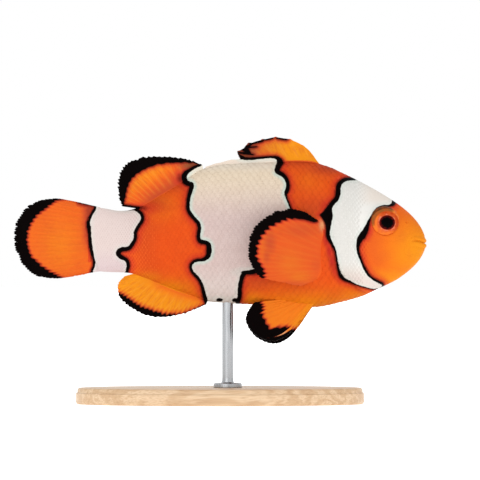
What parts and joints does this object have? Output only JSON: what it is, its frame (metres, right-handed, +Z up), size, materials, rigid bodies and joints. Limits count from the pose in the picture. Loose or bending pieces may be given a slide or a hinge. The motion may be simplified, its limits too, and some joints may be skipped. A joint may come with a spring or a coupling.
{
  "type": "clownfish display model",
  "caption": "Still life-size model of an orange and white banded clownfish, held level by a short rod on a flat oval display base.",
  "frame": {"origin": "middle of the display base's underside, below the middle of the fish's length", "axes": "+X from tail to snout, +Y towards the fish's left flank, +Z up"},
  "size_m": [0.0802, 0.03, 0.0519],
  "materials": {
    "skin": "moist scaled skin, orange with black-edged white bands",
    "fin": "rayed fin membrane, orange with a black margin",
    "eye": "wet cornea over an orange-brown iris and black pupil",
    "base_wood": "satin pale maple",
    "rod_steel": "brushed"
  },
  "bodies": {
    "root": {"head": "skin", "lower_jaw": "skin", "gill_cover_right": "skin", "gill_cover_left": "skin", "trunk": "skin", "tail_stalk": "skin", "dorsal_fin_spiny": "fin", "dorsal_fin_soft": "fin", "anal_fin": "fin", "tail_fin": "fin", "pectoral_fin_right": "fin", "pectoral_fin_left": "fin", "pelvic_fin_right": "fin", "pelvic_fin_left": "fin", "eye_right": "eye", "eye_left": "eye", "stand_base": "base_wood", "stand_rod": "rod_steel"}
  },
  "joints": []
}
